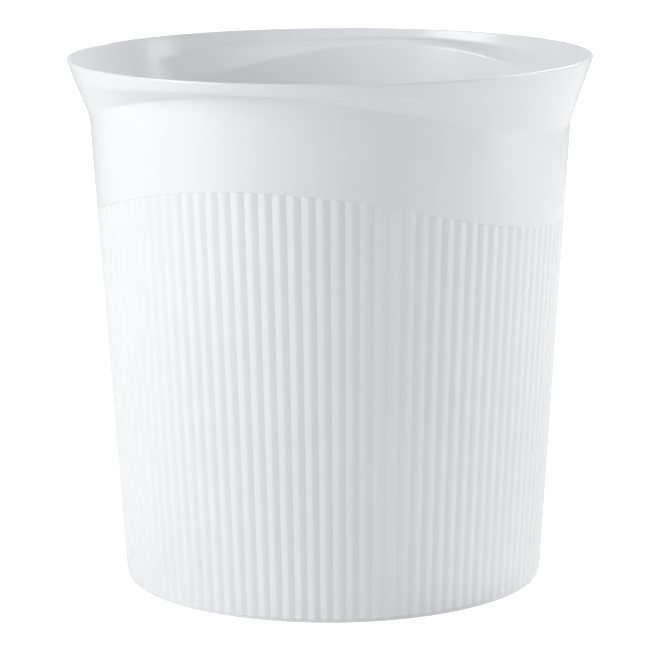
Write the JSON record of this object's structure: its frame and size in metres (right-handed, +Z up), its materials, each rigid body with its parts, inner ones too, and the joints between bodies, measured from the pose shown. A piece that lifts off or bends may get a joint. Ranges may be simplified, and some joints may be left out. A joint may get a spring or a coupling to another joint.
{
  "type": "wastebasket",
  "caption": "Round open wastebasket: tapered tub with a flared rim and a wavy smooth band above a skin of fine upright ribs.",
  "frame": {"origin": "on the floor at the basket's upright axis, the centre of the foot ring's underside", "axes": "+Z up along the basket's axis; the crests of the wavy lines face -Y and +Y, their troughs face -X and +X"},
  "size_m": [0.29, 0.29, 0.292],
  "materials": {
    "tub_plastic": "glossy white moulded polypropylene",
    "sleeve_plastic": "glossy white moulded polypropylene, fine upright ribs",
    "foot_plastic": "satin white moulded polypropylene"
  },
  "bodies": {
    "root": {"smooth_tub": "tub_plastic", "ribbed_sleeve": "sleeve_plastic", "foot_ring": "foot_plastic"}
  },
  "joints": []
}
